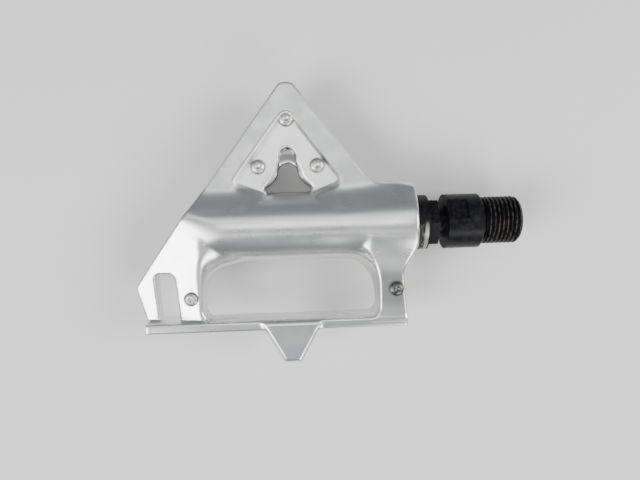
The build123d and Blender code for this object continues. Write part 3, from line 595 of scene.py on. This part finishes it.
smooth = node(tree, "GeometryNodeSetShadeSmooth", {"Geometry": closed.outputs[0]})
realized = node(tree, "GeometryNodeRealizeInstances", {"Geometry": smooth.outputs[0]})
finished = node(tree, "GeometryNodeSetMaterial", {
    "Geometry": realized.outputs[0], "Material": given["Finish"]})
node(tree, "NodeGroupOutput", {"Geometry": finished.outputs[0]})
thread_maker = bpy.data.objects.new("thread_maker", bpy.data.meshes.new("thread_maker"))
bpy.context.collection.objects.link(thread_maker)
winding = thread_maker.modifiers.new("winding", "NODES")
winding.node_group = tree
for item in tree.interface.items_tree:
    if item.in_out == "INPUT":
        winding[item.identifier] = spindle_mat if item.name == "Finish" else thread_sizes[item.name]
wound = thread_maker.evaluated_get(bpy.context.evaluated_depsgraph_get())
thread_mesh = bpy.data.meshes.new_from_object(wound)
bpy.data.objects.remove(thread_maker)

end_inset, hole_depth, near_end, near_axis = 0.0046, 0.0013, 0.0001, 0.00001
thread_end = bmesh.new()
thread_end.from_mesh(thread_mesh)
open_edges = [e for e in thread_end.edges if e.is_boundary]
collar_edges = [e for e in open_edges if e.verts[0].co.x < near_end]
end_edges = [e for e in open_edges if e.verts[0].co.x > thread_sizes["Length"] - near_end]
bmesh.ops.contextual_create(thread_end, geom=collar_edges)
end_face = bmesh.ops.contextual_create(thread_end, geom=end_edges)["faces"]
bmesh.ops.inset_region(thread_end, faces=end_face, thickness=end_inset)
bmesh.ops.poke(thread_end, faces=end_face, offset=0)
on_axis = [v for v in thread_end.verts if abs(v.co.y) < near_axis and abs(v.co.z) < near_axis]
hub = max(on_axis, key=lambda v: v.co.x)
hub.co.x -= hole_depth
bmesh.ops.recalc_face_normals(thread_end, faces=thread_end.faces)
thread_end.to_mesh(thread_mesh)
thread_end.free()
crank_thread = bpy.data.objects.new("crank_thread", thread_mesh)
bpy.context.collection.objects.link(crank_thread)
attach(crank_thread, "spindle")
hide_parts("spindle")


# Floor: a plain pale sheet under the pedal.
floor_size, floor_z, floor_tone, floor_rough = 3.0, -0.0122, (0.75, 0.75, 0.74, 1), 0.8
bpy.ops.mesh.primitive_plane_add(size=floor_size, location=(0, 0, floor_z))
floor = bpy.context.object
floor_mat = bpy.data.materials.new("floor")
floor_mat.use_nodes = True
floor_bsdf = floor_mat.node_tree.nodes["Principled BSDF"]
connect(floor_mat.node_tree, floor_bsdf.inputs, {"Base Color": floor_tone, "Roughness": floor_rough})
floor.data.materials.append(floor_mat)

# Light: soft panels to the left, right and rear, and weaker ones overhead and beyond the toe, under a dim
# ceiling. Each panel has its place, width, depth and power, and faces the middle of the pedal.
pedal_middle = Vector((-0.057, 0, 0))
sky_tone, sky_strength = (0.92, 0.96, 1.0, 1), 0.24
for name, panel_place, wide, deep, power in (
        ("left_panel", (-0.52, -0.21, 0.50), 0.40, 0.40, 5.5),
        ("top_panel", (-0.067, 0.07, 0.60), 0.22, 0.14, 0.32),
        ("strip_panel", (-0.06, -0.24, 0.62), 0.50, 0.04, 0.16),
        ("rear_panel", (0.24, -0.50, 0.42), 0.25, 0.25, 2.0),
        ("toe_panel", (-0.05, 0.26, 0.58), 0.60, 0.20, 0.50),
        ("right_panel", (0.50, 0.05, 0.45), 0.30, 0.40, 4.0)):
    lamp = bpy.data.lights.new(name, "AREA")
    lamp.shape = "RECTANGLE"
    lamp.size = wide
    lamp.size_y = deep
    lamp.energy = power
    lamp_object = bpy.data.objects.new(name, lamp)
    lamp_object.location = panel_place
    lamp_object.rotation_euler = (pedal_middle - Vector(panel_place)).to_track_quat("-Z", "Y").to_euler()
    bpy.context.collection.objects.link(lamp_object)
world = bpy.data.worlds.new("studio")
world.use_nodes = True
sky = world.node_tree.nodes["Background"]
connect(world.node_tree, sky.inputs, {"Color": sky_tone, "Strength": sky_strength})
bpy.context.scene.world = world

# Camera: close above the riding face, as in the photograph.
camera_place = (-0.0541, 0.0094, 0.1690)
camera_turn = Vector((radians(-4.68), radians(-2.14), radians(-1.72)))
camera = bpy.data.cameras.new("camera")
camera.sensor_width = 36.0
camera.lens = 31.5
camera.clip_start = 0.01
camera_object = bpy.data.objects.new("camera", camera)
camera_tilt = Matrix.Rotation(camera_turn.length, 4, camera_turn.normalized())
camera_object.matrix_world = Matrix.Translation(camera_place) @ camera_tilt
bpy.context.collection.objects.link(camera_object)
bpy.context.scene.camera = camera_object
